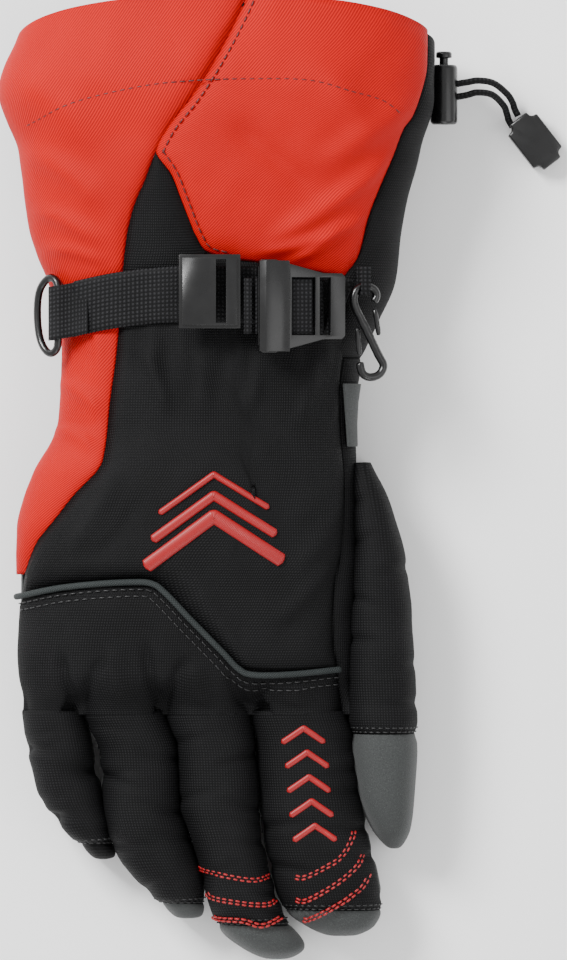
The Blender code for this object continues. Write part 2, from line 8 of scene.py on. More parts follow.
import bmesh
import bpy
import numpy as np
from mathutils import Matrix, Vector


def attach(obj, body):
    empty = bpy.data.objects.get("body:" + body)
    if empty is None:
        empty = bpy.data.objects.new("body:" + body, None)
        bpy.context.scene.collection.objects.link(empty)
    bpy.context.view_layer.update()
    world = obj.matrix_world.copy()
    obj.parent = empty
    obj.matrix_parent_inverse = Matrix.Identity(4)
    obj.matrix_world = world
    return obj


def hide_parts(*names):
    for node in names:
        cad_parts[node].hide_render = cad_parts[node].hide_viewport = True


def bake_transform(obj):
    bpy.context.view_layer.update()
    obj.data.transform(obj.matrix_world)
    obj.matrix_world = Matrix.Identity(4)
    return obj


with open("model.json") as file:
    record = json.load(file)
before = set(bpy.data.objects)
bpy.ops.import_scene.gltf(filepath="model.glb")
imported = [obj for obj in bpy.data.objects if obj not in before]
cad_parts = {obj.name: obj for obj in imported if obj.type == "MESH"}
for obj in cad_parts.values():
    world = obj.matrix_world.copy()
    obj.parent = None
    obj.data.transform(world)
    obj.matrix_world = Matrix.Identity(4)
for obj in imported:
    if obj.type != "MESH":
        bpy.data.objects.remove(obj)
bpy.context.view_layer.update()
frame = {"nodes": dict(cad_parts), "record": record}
MM = 0.001

# ---------------------------------------------------------------- sections, as the design has them
SQUARENESS = 2.5
UNDERSIDE = 0.86
HAND = [
    (157, -75.1, 73.0, 60), (139, -82.3, 73.0, 64), (119, -75.4, 67.9, 62),
    (92, -71.5, 61.7, 57), (72, -65.3, 58.9, 53), (57, -61.0, 52.7, 51),
    (43, -59.6, 47.5, 50), (21, -61.0, 44.5, 50), (1, -70.4, 45.0, 52),
    (-18, -75.8, 45.5, 52), (-43, -76.1, 45.0, 50), (-61, -77.2, 44.5, 46),
    (-84, -74.6, 44.5, 40),
]
MOUTH_RISE = 15.8
MOUTH_RISE_START = 128
# Each digit stands 1 to 2.5 mm wider than its solid, so neighbours meet as sewn fingers do.
DIGITS = {
    "index": [(-84, 7.4, 41.6, 35), (-94, 9.6, 45.0, 34), (-112, 10.7, 47.2, 33.4),
              (-126, 12.1, 49.4, 33), (-144, 16.0, 53.6, 32), (-155, 19.6, 55.0, 29),
              (-161, 28.0, 52.0, 25), (-164.8, 35.0, 46.5, 19)],
    "middle": [(-84, -23.2, 7.2, 36), (-100, -18.4, 9.4, 35.4), (-117, -18.0, 10.5, 35),
               (-130, -13.2, 11.6, 34), (-150, -8.1, 16.6, 32), (-162, -3.6, 22.6, 30),
               (-169, 5.0, 26.6, 26), (-173.2, 12.0, 22.6, 19)],
    "ring": [(-84, -53.0, -23.4, 35), (-99, -46.4, -18.8, 34.4), (-115, -45.6, -18.2, 34),
             (-133, -42.0, -13.4, 33), (-145, -32.6, -9.9, 30), (-153, -25.0, -9.2, 26),
             (-158.4, -19.0, -10.5, 19)],
    "little": [(-84, -74.6, -53.2, 33), (-94, -73.5, -50.5, 33), (-105, -71.0, -48.4, 32),
               (-115, -68.0, -46.3, 31), (-127, -58.5, -43.2, 28), (-133, -52.8, -41.8, 24),
               (-137.0, -48.6, -42.0, 19)],
    "thumb": [(6, 44.0, 50.0, 30), (-3, 44.0, 54.6, 34), (-13, 44.0, 58.9, 36), (-27, 44.0, 62.8, 37),
              (-40, 43.0, 64.6, 37), (-62, 42.6, 66.2, 36), (-92, 43.6, 67.4, 35),
              (-113, 46.6, 66.3, 33), (-126, 51.6, 65.2, 28), (-133.4, 56.5, 62.8, 19)],
}

# Seams as (x, y) on the back of the hand
CENTRE_SEAM = [(7.4, 158), (2.0, 152), (-12.8, 136), (-20.7, 127), (-26.1, 117)]
LEFT_EDGE = CENTRE_SEAM + [(-30.4, 106), (-33.9, 98), (-36.5, 88), (-38.0, 76), (-39.2, 60), (-40.9, 43),
                           (-43.0, 28), (-44.6, 12), (-47.0, 4), (-55.6, -5), (-62.8, -14),
                           (-70.0, -23), (-74.6, -34)]
WEDGE_EDGE = [(-26.1, 117), (-20.7, 109), (-17.1, 100), (-12.4, 88), (-8.1, 81.4), (0.2, 78.8),
              (10.3, 77.4), (25.0, 75.0), (41.5, 72.4)]
GUSSET_EDGE = [(71.6, 152), (70.9, 143), (66.8, 131), (62.8, 125), (59.2, 115.6), (54.2, 104), (50.2, 93.6),
               (46.6, 80), (41.5, 72.4)]
HAND_SEAM = [(41.5, 72.4), (42.5, 55), (40.2, 35), (40.6, 15), (41.8, 0), (41.0, -23), (38.0, -38),
             (37.6, -57), (39.1, -68)]
WELT = [(-75.6, -42.0), (-62.1, -38.9), (-48, -37.2), (-34, -36.4), (-27.5, -37.0), (-23.0, -40.2),
        (-13.9, -49.7), (-2, -61.9), (3.0, -67.2), (8.0, -69.3), (22, -69.4), (39.1, -68.0)]


def table_arrays(table, step=0.5):
    """A section table sampled finely on a curve that never overshoots its rows."""
    rows = np.array(sorted(table), float)
    ys = rows[:, 0]
    grid = np.arange(ys[0], ys[-1] + step / 2, step)
    i = np.clip(np.searchsorted(ys, grid, side="right") - 1, 0, len(ys) - 2)
    spans = np.diff(ys)
    t = np.clip((grid - ys[i]) / spans[i], 0, 1)
    columns = []
    for c in range(1, rows.shape[1]):
        v = rows[:, c]
        rise = np.diff(v) / spans
        slopes = np.zeros(len(v))
        slopes[0], slopes[-1] = rise[0], rise[-1]
        same = rise[:-1] * rise[1:] > 0
        total = np.where(same, rise[:-1] + rise[1:], 1)
        slopes[1:-1] = np.where(same, 2 * rise[:-1] * rise[1:] / total, 0)
        columns.append((2 * t**3 - 3 * t**2 + 1) * v[i] + (t**3 - 2 * t**2 + t) * spans[i] * slopes[i]
                       + (3 * t**2 - 2 * t**3) * v[i + 1] + (t**3 - t**2) * spans[i] * slopes[i + 1])
    return grid, columns


SECTIONS = {"hand": table_arrays(HAND)}
for _name, _table in DIGITS.items():
    SECTIONS[_name] = table_arrays(_table)


def section(which, y):
    grid, (left, right, top) = SECTIONS[which]
    low, high, up = (np.interp(y, grid, column) for column in (left, right, top))
    half_height = up / (1 + UNDERSIDE)
    return (low + high) / 2, (high - low) / 2, UNDERSIDE * half_height, half_height


def ramp(a, b, v):
    t = np.clip((v - a) / (b - a), 0, 1)
    return t * t * (3 - 2 * t)


CROTCH_HEIGHT = 28.0


def fingers_top(x):
    """Height of the four finger roots side by side at the knuckle line."""
    best = np.full_like(x, CROTCH_HEIGHT)
    for which in ("index", "middle", "ring", "little"):
        mid, half, mid_z, half_z = section(which, -84.0)
        u = np.clip(np.abs((x - mid) / half), 0, 1)
        best = np.maximum(best, mid_z + half_z * (1 - u**SQUARENESS) ** (1 / SQUARENESS))
    return best


def body_point(which, angle, y):
    """Points of a bare body surface at an angle from +X."""
    mid, half, mid_z, half_z = section(which, y)
    cos, sin = np.cos(angle), np.sin(angle)
    power = 2 / SQUARENESS
    x = mid + half * np.sign(cos) * np.abs(cos) ** power
    z = mid_z + half_z * np.sign(sin) * np.abs(sin) ** power
    out_y = y.astype(float).copy()
    if which == "hand":
        high = sin > 0
        out_y += np.where(high, MOUTH_RISE * np.clip((y - MOUTH_RISE_START) / (157 - MOUTH_RISE_START),
                                                     0, 1) ** 2 * sin, 0)
        near = ramp(-69, -84, y)
        z = np.where(high, z * (1 - near) + fingers_top(x) * near, z)
    return np.stack([x, out_y, np.maximum(z, 0.25)], axis=-1)


def body_normal(which, angle, y):
    step_a, step_y = 0.02, 0.6
    across = body_point(which, angle + step_a, y) - body_point(which, angle - step_a, y)
    along = body_point(which, angle, y + step_y) - body_point(which, angle, y - step_y)
    n = np.cross(along, across)
    n /= np.maximum(np.linalg.norm(n, axis=-1, keepdims=True), 1e-9)
    mid, _, mid_z, _ = section(which, y)
    p = body_point(which, angle, y)
    outward = np.stack([p[..., 0] - mid, np.zeros_like(mid), p[..., 2] - mid_z], axis=-1)
    flip = np.sign(np.sum(n * outward, axis=-1, keepdims=True))
    return n * np.where(flip == 0, 1, flip)


def angle_of(which, x, y):
    mid, half, _, _ = section(which, y)
    u = np.clip((x - mid) / half, -1, 1)
    return np.arccos(np.sign(u) * np.abs(u) ** (SQUARENESS / 2))


# ---------------------------------------------------------------- folds

def ridge(x, y, start, end, width, height):
    """A soft fold along a line, tapering to its ends."""
    (ax, ay), (bx, by) = start, end
    dx, dy = bx - ax, by - ay
    length = math.hypot(dx, dy)
    along = ((x - ax) * dx + (y - ay) * dy) / length
    off = ((x - ax) * dy - (y - ay) * dx) / length + 1.6 * np.sin(along / length * 3.1)
    fade = ramp(-0.05, 0.3, along / length) * ramp(1.05, 0.7, along / length)
    return height * np.exp(-(off / width) ** 2) * fade


def noise(x, y, size, seed):
    """Smooth wandering height from a few crossed waves."""
    rng = np.random.default_rng(seed)
    total = np.zeros_like(x)
    for _ in range(6):
        direction = rng.uniform(0, math.pi)
        wave = rng.uniform(0.7, 1.5) / size
        phase = rng.uniform(0, 2 * math.pi)
        total += np.sin((x * math.cos(direction) + y * math.sin(direction)) * wave * 2 * math.pi + phase)
    return total / 3.2


HAND_FOLDS = [
    # red right gauntlet panel, diagonal
    ((60, 118), (12, 84), 3.4, 1.5), ((52, 96), (8, 80), 2.4, 1.2), ((66, 138), (30, 112), 4.5, 1.2),
    ((-2, 128), (34, 98), 4.2, -1.0), ((40, 92), (18, 76), 2.0, 1.0), ((30, 150), (52, 118), 5, 0.9),
    # red left gauntlet panel
    ((-72, 120), (-42, 96), 4.2, 1.3), ((-70, 98), (-44, 84), 3.0, 1.2), ((-66, 84), (-42, 77), 2.2, 1.0),
    ((-78, 146), (-46, 118), 6, 1.1), ((-60, 36), (-44, 22), 2.6, 1.0), ((-62, 18), (-47, 10), 2.2, 0.9),
    # gather below the strap and soft folds on the back of the hand
    ((-32, 50), (-22, 22), 2.6, 1.0), ((-12, 52), (-10, 20), 3.0, 0.9), ((10, 52), (6, 22), 2.8, 1.0),
    ((30, 50), (24, 18), 2.8, 1.1), ((40, 46), (36, 20), 2.0, 0.9), ((-40, 4), (-58, -28), 3.4, 0.9),
    ((40, -4), (22, -34), 3.6, 1.0), ((36, -28), (14, -52), 3.2, 0.9), ((-30, -4), (-50, -30), 3.0, -0.7),
    # radiating from the finger crotches
    ((-53, -84), (-60, -60), 1.8, -1.3), ((-53, -84), (-44, -62), 2.0, -1.0),
    ((-23, -84), (-30, -56), 2.2, -1.3), ((-23, -84), (-14, -62), 2.0, -1.0),
    ((7.4, -84), (0, -66), 2.2, -1.2), ((7.4, -84), (16, -72), 1.8, -0.9),
    ((-38, -82), (-40, -56), 4.0, 0.8), ((-8, -82), (-12, -64), 3.6, 0.8), ((24, -82), (26, -72), 4.0, 0.6),
]


FOLD_STRENGTH = 1.6


def hand_relief(x, y):
    total = 0.35 * noise(x, y, 46, 3) + 0.14 * noise(x, y, 17, 5)
    for start, end, width, height in HAND_FOLDS:
        total = total + FOLD_STRENGTH * ridge(x, y, start, end, width, height)
    return total


DIGIT_SEEDS = {"index": 11, "middle": 13, "ring": 17, "little": 19, "thumb": 23}


def digit_relief(which, x, y):
    mid, half, _, _ = section(which, y)
    u = (x - mid) / half
    seed = DIGIT_SEEDS[which]
    rng = np.random.default_rng(seed)
    base, tip = DIGITS[which][0][0], DIGITS[which][-1][0]
    total = 0.22 * noise(x, y, 16, seed + 1)
    for k in range(9):
        place = base + (tip - base) * (0.10 + 0.088 * k) + rng.uniform(-2.5, 2.5)
        slant = rng.uniform(-5, 5)
        side = rng.choice([-1.0, 1.0])
        reach = ramp(-0.5, 0.9, u * side)
        total = total - rng.uniform(0.8, 1.5) * reach * np.exp(-((y - place - slant * u) / 1.8) ** 2)
    fade = ramp(base, base - 8, y)
    return total * fade


# ---------------------------------------------------------------- materials
def nodes_of(name):
    made = bpy.data.materials.new(name)
    made.use_nodes = True
    tree = made.node_tree
    return made, tree, tree.nodes["Principled BSDF"]


def link(tree, a, out, b, into):
    tree.links.new(a.outputs[out], b.inputs[into])


def maths(tree, operation, first, second=None):
    node = tree.nodes.new("ShaderNodeMath")
    node.operation = operation
    for socket, value in zip(node.inputs, (first, second)):
        if isinstance(value, tuple):
            tree.links.new(value[0].outputs[value[1]], socket)
        elif value is not None:
            socket.default_value = value
    return node


def wave(tree, vector, scale, turn, distortion=0.0):
    """Parallel ribs, scale of them to each unit, turned by an angle."""
    mapping = tree.nodes.new("ShaderNodeMapping")
    mapping.inputs["Rotation"].default_value = (0, 0, turn)
    tree.links.new(vector, mapping.inputs["Vector"])
    ribs = tree.nodes.new("ShaderNodeTexWave")
    ribs.wave_type = "BANDS"
    ribs.bands_direction = "X"
    ribs.inputs["Scale"].default_value = scale * 0.314
    ribs.inputs["Distortion"].default_value = distortion
    link(tree, mapping, "Vector", ribs, "Vector")
    return ribs


def cloth(name, dark, light, weave_mm, weave_turn, roughness, bump, second=True, sheen=0.0,
          blotch=0.35, distortion=0.3):
    """Woven fabric. Its map coordinates are millimetres on the cloth."""
    made, tree, shader = nodes_of(name)
    uv = tree.nodes.new("ShaderNodeTexCoord").outputs["UV"]
    first = wave(tree, uv, 1 / weave_mm, weave_turn, distortion)
    height = (first, "Fac")
    if second:
        other = wave(tree, uv, 1 / weave_mm, weave_turn + math.pi / 2, distortion)
        height = (maths(tree, "MULTIPLY", height, (other, "Fac")), 0)
    fine = tree.nodes.new("ShaderNodeTexNoise")
    fine.inputs["Scale"].default_value = 2.2
    fine.inputs["Detail"].default_value = 4
    tree.links.new(uv, fine.inputs["Vector"])
    slow = tree.nodes.new("ShaderNodeTexNoise")
    slow.inputs["Scale"].default_value = 0.045
    slow.inputs["Detail"].default_value = 3
    tree.links.new(uv, slow.inputs["Vector"])
    mixed = maths(tree, "ADD", (maths(tree, "MULTIPLY", height, 0.62), 0),
                  (maths(tree, "MULTIPLY", (fine, "Fac"), 0.34), 0))
    shade = maths(tree, "ADD", (mixed, 0), (maths(tree, "MULTIPLY", (maths(
        tree, "SUBTRACT", (slow, "Fac"), 0.5), 0), blotch), 0))
    ramp_node = tree.nodes.new("ShaderNodeValToRGB")
    ramp_node.color_ramp.elements[0].position = 0.12
    ramp_node.color_ramp.elements[0].color = (*dark, 1)
    ramp_node.color_ramp.elements[1].position = 0.85
    ramp_node.color_ramp.elements[1].color = (*light, 1)
    link(tree, shade, 0, ramp_node, "Fac")
    link(tree, ramp_node, "Color", shader, "Base Color")
    relief = tree.nodes.new("ShaderNodeBump")
    relief.inputs["Strength"].default_value = bump
    relief.inputs["Distance"].default_value = 0.0004
    link(tree, mixed, 0, relief, "Height")
    link(tree, relief, "Normal", shader, "Normal")
    shader.inputs["Roughness"].default_value = roughness
    shader.inputs["Specular IOR Level"].default_value = 0.12
    shader.inputs["Sheen Weight"].default_value = sheen
    shader.inputs["Sheen Roughness"].default_value = 0.5
    return made


def nubuck(name, dark, light):
    """Napped leather with a fine painted sparkle: small lighter specks in its colour."""
    made, tree, shader = nodes_of(name)
    uv = tree.nodes.new("ShaderNodeTexCoord").outputs["UV"]
    grain = tree.nodes.new("ShaderNodeTexNoise")
    grain.inputs["Scale"].default_value = 1.5
    grain.inputs["Detail"].default_value = 8
    grain.inputs["Roughness"].default_value = 0.7
    tree.links.new(uv, grain.inputs["Vector"])
    cells = tree.nodes.new("ShaderNodeTexVoronoi")
    cells.inputs["Scale"].default_value = 2.1
    tree.links.new(uv, cells.inputs["Vector"])
    # Painted sparkle: small dots where the colour is mixed halfway towards a light grey.
    painted_sparkle = maths(tree, "LESS_THAN", (cells, "Distance"), 0.16)
    colours = tree.nodes.new("ShaderNodeValToRGB")
    colours.color_ramp.elements[0].position = 0.3
    colours.color_ramp.elements[0].color = (*dark, 1)
    colours.color_ramp.elements[1].position = 0.75
    colours.color_ramp.elements[1].color = (*light, 1)
    link(tree, grain, "Fac", colours, "Fac")
    mix = tree.nodes.new("ShaderNodeMix")
    mix.data_type = "RGBA"
    tree.links.new(maths(tree, "MULTIPLY", (painted_sparkle, 0), 0.5).outputs[0], mix.inputs[0])
    tree.links.new(colours.outputs["Color"], mix.inputs[6])
    mix.inputs[7].default_value = (0.13, 0.14, 0.137, 1)
    tree.links.new(mix.outputs[2], shader.inputs["Base Color"])
    relief = tree.nodes.new("ShaderNodeBump")
    relief.inputs["Strength"].default_value = 0.5
    relief.inputs["Distance"].default_value = 0.0003
    link(tree, grain, "Fac", relief, "Height")
    link(tree, relief, "Normal", shader, "Normal")
    shader.inputs["Roughness"].default_value = 0.85
    shader.inputs["Sheen Weight"].default_value = 0.08
    return made


def moulded(name, colour, roughness):
    """Satin moulded plastic with a faint mould texture, patchy roughness and painted highlights in its
    colour.
    """
    made, tree, shader = nodes_of(name)
    place = tree.nodes.new("ShaderNodeTexCoord").outputs["Object"]
    grain = tree.nodes.new("ShaderNodeTexNoise")
    grain.inputs["Scale"].default_value = 2600
    grain.inputs["Detail"].default_value = 3
    tree.links.new(place, grain.inputs["Vector"])
    slow = tree.nodes.new("ShaderNodeTexNoise")
    slow.inputs["Scale"].default_value = 180
    tree.links.new(place, slow.inputs["Vector"])
    rough = maths(tree, "ADD", (maths(tree, "MULTIPLY", (slow, "Fac"), 0.18), 0), roughness - 0.09)
    link(tree, rough, 0, shader, "Roughness")
    # Painted highlights: the colour turns lighter in random patches of the slow noise.
    tint = tree.nodes.new("ShaderNodeValToRGB")
    tint.color_ramp.elements[0].color = (*[c * 0.8 for c in colour], 1)
    tint.color_ramp.elements[1].color = (*[c * 1.3 for c in colour], 1)
    link(tree, slow, "Fac", tint, "Fac")
    link(tree, tint, "Color", shader, "Base Color")
    relief = tree.nodes.new("ShaderNodeBump")
    relief.inputs["Strength"].default_value = 0.12
    relief.inputs["Distance"].default_value = 0.0001
    link(tree, grain, "Fac", relief, "Height")
    link(tree, relief, "Normal", shader, "Normal")
    return made


def thread(name, colour):
    """Twisted sewing or embroidery thread."""
    made, tree, shader = nodes_of(name)
    place = tree.nodes.new("ShaderNodeTexCoord").outputs["Object"]
    twist = wave(tree, place, 2600, math.radians(40), 0.5)
    tint = tree.nodes.new("ShaderNodeValToRGB")
    tint.color_ramp.elements[0].color = (*[c * 0.6 for c in colour], 1)
    tint.color_ramp.elements[1].color = (*[min(c * 1.15, 1) for c in colour], 1)
    link(tree, twist, "Fac", tint, "Fac")
    link(tree, tint, "Color", shader, "Base Color")
    shader.inputs["Roughness"].default_value = 0.45
    return made


BLACK = cloth("black shell fabric", (0.0010, 0.0010, 0.0011), (0.013, 0.013, 0.014), 0.95, 0.0, 0.66, 0.9)
RED = cloth("red twill", (0.24, 0.0010, 0.0006), (0.56, 0.0030, 0.0016), 0.85, math.radians(38), 0.62, 0.42,
            second=False, blotch=0.22, distortion=0.9)
WEB = cloth("black webbing", (0.0018, 0.0018, 0.002), (0.024, 0.024, 0.026), 1.5, 0.0, 0.62, 1.0)
LINING = cloth("brushed lining", (0.02, 0.02, 0.022), (0.10, 0.10, 0.11), 1.2, 0.4, 0.95, 0.5, sheen=0.3)
PADDING = cloth("fibre padding", (0.45, 0.45, 0.43), (0.8, 0.8, 0.78), 3.0, 0.2, 0.95, 0.4)
NUBUCK = nubuck("charcoal nubuck", (0.010, 0.0115, 0.0115), (0.040, 0.044, 0.043))
PIPING = cloth("grey welt", (0.014, 0.017, 0.017), (0.055, 0.062, 0.062), 0.7, 0.7, 0.6, 0.8)
PLASTIC = moulded("satin black plastic", (0.0028, 0.0028, 0.003), 0.28)
FILM = moulded("breathable film", (0.5, 0.52, 0.55), 0.4)
STEEL = moulded("spring steel", (0.5, 0.5, 0.5), 0.3)
STEEL.node_tree.nodes["Principled BSDF"].inputs["Metallic"].default_value = 1.0
THREAD_BLACK = thread("black thread", (0.005, 0.005, 0.0055))
THREAD_RED = thread("red thread", (0.31, 0.001, 0.003))
THREAD_DARK_RED = thread("dark red thread", (0.07, 0.004, 0.004))


# ---------------------------------------------------------------- building pieces
def new_object(name, verts, faces, material, body=None, uv=None, subdivide=0, smooth=True):
    mesh = bpy.data.meshes.new(name)
    mesh.from_pydata([tuple(v) for v in np.asarray(verts) * MM], [], [tuple(f) for f in faces])
    mesh.validate()
    if uv is not None:
        layer = mesh.uv_layers.new(name="UVMap")
        index = np.empty(len(mesh.loops), int)
        mesh.loops.foreach_get("vertex_index", index)
        layer.data.foreach_set("uv", np.asarray(uv, float)[index].ravel())
    if smooth:
        mesh.shade_smooth()
    made = bpy.data.objects.new(name, mesh)
    bpy.context.collection.objects.link(made)
    made.data.materials.append(material)
    if subdivide:
        step = made.modifiers.new("finer", "SUBSURF")
        step.levels = step.render_levels = subdivide
    if body:
        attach(made, body)
    return made


def path_points(points, count):
    """Evenly spaced points along a smooth curve through the given ones (Catmull-Rom)."""
    p = np.array(points, float)
    if len(p) == 2:
        t = np.linspace(0, 1, count)[:, None]
        return p[0] * (1 - t) + p[1] * t
    padded = np.vstack([2 * p[0] - p[1], p, 2 * p[-1] - p[-2]])
    fine = []
    for i in range(len(p) - 1):
        a, b, c, d = padded[i:i + 4]
        t = np.linspace(0, 1, 24, endpoint=False)[:, None]
        fine.append(0.5 * (2 * b + (c - a) * t + (2 * a - 5 * b + 4 * c - d) * t**2
                           + (3 * b - a - 3 * c + d) * t**3))
    fine = np.vstack(fine + [p[-1:]])
    reach = np.concatenate([[0], np.cumsum(np.linalg.norm(np.diff(fine, axis=0), axis=1))])
    want = np.linspace(0, reach[-1], count)
    return np.stack([np.interp(want, reach, fine[:, k]) for k in range(p.shape[1])], axis=1)


def sharp_path(points, count):
    """Evenly spaced points along straight runs."""
    p = np.array(points, float)
    reach = np.concatenate([[0], np.cumsum(np.linalg.norm(np.diff(p, axis=0), axis=1))])
    want = np.linspace(0, reach[-1], count)
    return np.stack([np.interp(want, reach, p[:, k]) for k in range(p.shape[1])], axis=1)


def on_hand(points):
    """Points given as x and y, as angle and y."""
    p = np.asarray(points, float)
    return np.stack([angle_of("hand", p[:, 0], p[:, 1]), p[:, 1]], axis=1)


def coons(bottom, right, top, left):
    """A grid of parameters inside four edges. Bottom and top run left to right, the sides upward."""
    n, m = len(bottom), len(left)
    u = np.linspace(0, 1, n)[None, :, None]
    v = np.linspace(0, 1, m)[:, None, None]
    ruled_v = (1 - v) * bottom[None] + v * top[None]
    ruled_u = (1 - u) * left[:, None] + u * right[:, None]
    corners = ((1 - u) * (1 - v) * bottom[0] + u * (1 - v) * bottom[-1]
               + (1 - u) * v * top[0] + u * v * top[-1])
    return ruled_v + ruled_u - corners


PANEL_BULGE = 1.5           # how far a panel stands out between its seams
SEAM_DEPTH = 0.9
SEAM_REACH = 2.6            # how quickly a panel rises from its seam


def grid_faces(rows, columns, wrap=False):
    faces = []
    for i in range(rows - 1):
        for k in range(columns if wrap else columns - 1):
            n = (k + 1) % columns
            faces.append((i * columns + k, i * columns + n, (i + 1) * columns + n,
                          (i + 1) * columns + k))
    return faces


def edge_distance(points, open_edges=()):
    """Distance in mm from each grid point to the nearest sewn edge."""
    rows, columns = points.shape[:2]
    edges = {"bottom": points[0], "top": points[-1], "left": points[:, 0], "right": points[:, -1]}
    best = np.full((rows, columns), 1e3)
    for name, line in edges.items():
        if name in open_edges:
            continue
        for q in sharp_path(line, 4 * len(line)):
            best = np.minimum(best, np.linalg.norm(points - q, axis=-1))
    return best


def patch(name, which, grid, material, body, relief, lift=0.0, open_edges=(), bulge=PANEL_BULGE,
          blend=None, thickness=1.4, seam=SEAM_DEPTH):
    """A sewn panel over a body surface, from a grid of angle and y."""
    angle, y = grid[..., 0], grid[..., 1]
    base = body_point(which, angle, y)
    normal = body_normal(which, angle, y)
    distance = edge_distance(base, open_edges)
    rise = 1 - np.exp(-distance / SEAM_REACH)
    puff = (bulge + seam) * rise - seam + relief(base[..., 0], base[..., 1]) * ramp(0, 6, distance) + lift
    outer = base + normal * puff[..., None]
    outer[..., 2] = np.maximum(outer[..., 2], 0.15)
    rows, columns = angle.shape
    verts = outer.reshape(-1, 3)
    across = np.linalg.norm(np.diff(base, axis=1), axis=-1)
    arc = np.concatenate([np.zeros((rows, 1)), np.cumsum(across, axis=1)], axis=1)
    arc -= arc[:, columns // 2:columns // 2 + 1]
    uv = np.stack([base[rows // 2, columns // 2, 0] + arc, y], axis=-1).reshape(-1, 2)
    made = new_object(name, verts, grid_faces(rows, columns), material, None, uv)
    hull = made.modifiers.new("cloth", "SOLIDIFY")
    hull.thickness = thickness * MM
    hull.offset = -1
    fix_outward(made, normal.reshape(-1, 3))
    if blend:
        hull_apply(made)
        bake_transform(made)
    else:
        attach(made, body)
    return made


def fix_outward(made, normals):
    """Turn the faces round where they look inward."""
    mesh = made.data
    votes = sum(1 if Vector(normals[p.vertices[0]]).dot(p.normal) > 0 else -1 for p in mesh.polygons)
    if votes < 0:
        mesh.flip_normals()


def hull_apply(made):
    bpy.context.view_layer.update()
    evaluated = made.evaluated_get(bpy.context.evaluated_depsgraph_get())
    mesh = bpy.data.meshes.new_from_object(evaluated)
    made.modifiers.clear()
    made.data = mesh


def rod(name, points, radius, material, body, sides=10, closed=False):
    """A round rod along points in mm, with flat ends."""
    p = np.asarray(points, float)
    n = len(p)
    if closed:
        along = np.roll(p, -1, axis=0) - np.roll(p, 1, axis=0)
    else:
        along = np.gradient(p, axis=0)
    along /= np.linalg.norm(along, axis=1, keepdims=True)
    side = np.cross(along[0], (0, 0, 1.0))
    if np.linalg.norm(side) < 0.1:
        side = np.cross(along[0], (1.0, 0, 0))
    verts = []
    turns = np.linspace(0, 2 * math.pi, sides, endpoint=False)
    for i in range(n):
        side = side - along[i] * side.dot(along[i])
        side /= np.linalg.norm(side)
        up = np.cross(along[i], side)
        verts.extend(p[i] + radius * (side * math.cos(a) + up * math.sin(a)) for a in turns)
    faces = grid_faces(n, sides, wrap=True)
    if closed:
        first, last = np.array(verts[:sides]), np.array(verts[-sides:])
        shift = min(range(sides), key=lambda s: np.linalg.norm(last - np.roll(first, -s, axis=0)))
        for k in range(sides):
            faces.append(((n - 1) * sides + k, (n - 1) * sides + (k + 1) % sides,
                          (k + 1 + shift) % sides, (k + shift) % sides))
    else:
        faces.append(tuple(reversed(range(sides))))
        faces.append(tuple(range((n - 1) * sides, n * sides)))
    reach = np.concatenate([[0], np.cumsum(np.linalg.norm(np.diff(p, axis=0), axis=1))])
    uv = [(a * radius, r) for r in reach for a in turns]
    return new_object(name, verts, faces, material, body, uv)


def stitch_row(name, points, normals, material, body, length=2.3, gap=0.8, radius=0.27):
    """Separate stitches sunk into the cloth along a line."""
    p = np.asarray(points, float)
    reach = np.concatenate([[0], np.cumsum(np.linalg.norm(np.diff(p, axis=0), axis=1))])
    total = reach[-1]
    verts, faces = [], []
    sides, stations = 6, (-1.0, -0.86, -0.5, 0.5, 0.86, 1.0)
    at = gap
    while at + length < total:
        centre = [np.interp(at + length / 2, reach, p[:, k]) for k in range(3)]
        ahead = [np.interp(at + length, reach, p[:, k]) for k in range(3)]
        behind = [np.interp(at, reach, p[:, k]) for k in range(3)]
        along = np.array(ahead) - np.array(behind)
        along /= max(np.linalg.norm(along), 1e-6)
        up = np.array([np.interp(at, reach, normals[:, k]) for k in range(3)])
        side = np.cross(along, up)
        side /= max(np.linalg.norm(side), 1e-6)
        up = np.cross(side, along)
        start = len(verts)
        for s in stations:
            sink = -1.1 * radius * abs(s) ** 3
            size = radius * (0.35 if abs(s) == 1 else 0.85 if abs(s) == 0.86 else 1.0)
            middle = np.array(centre) + along * s * length / 2 + up * sink
            for k in range(sides):
                a = 2 * math.pi * k / sides
                verts.append(middle + size * (side * math.cos(a) + up * math.sin(a)))
        faces += [tuple(start + f for f in face) for face in grid_faces(len(stations), sides, True)]
        faces.append(tuple(start + k for k in reversed(range(sides))))
        faces.append(tuple(start + (len(stations) - 1) * sides + k for k in range(sides)))
        at += length + gap
    return new_object(name, verts, faces, material, body)


def surface_line(which, points, count, lift, offset=0.0, smooth=True):
    """A line over a body at a height above its bare surface, moved sideways by offset."""
    p = (path_points if smooth else sharp_path)(points, count)
    if offset:
        direction = np.gradient(p, axis=0)
        direction /= np.maximum(np.linalg.norm(direction, axis=1, keepdims=True), 1e-6)
        p = p + offset * np.stack([-direction[:, 1], direction[:, 0]], axis=1)
    angle = angle_of(which, p[:, 0], p[:, 1])
    base = body_point(which, angle, p[:, 1])
    normal = body_normal(which, angle, p[:, 1])
    relief = settled_hand(base[:, 0], base[:, 1]) if which == "hand" else \
        digit_relief(which, base[:, 0], base[:, 1])
    return base + normal * (lift + relief)[:, None], normal


def settled_hand(x, y):
    """Folds of the hand, pressed flat under the strap."""
    pressed = np.exp(-((y - 64.5) / 13.0) ** 4)
    gather = 0.8 * np.sin(x * 0.62 + 0.8 * np.sin(y * 0.11)) * np.exp(-((y - 46) / 9.0) ** 2)
    near_fingers = ramp(-84.5, -80, y)
    return (hand_relief(x, y) * (1 - pressed) - 0.7 * pressed + gather * 0.8) * near_fingers


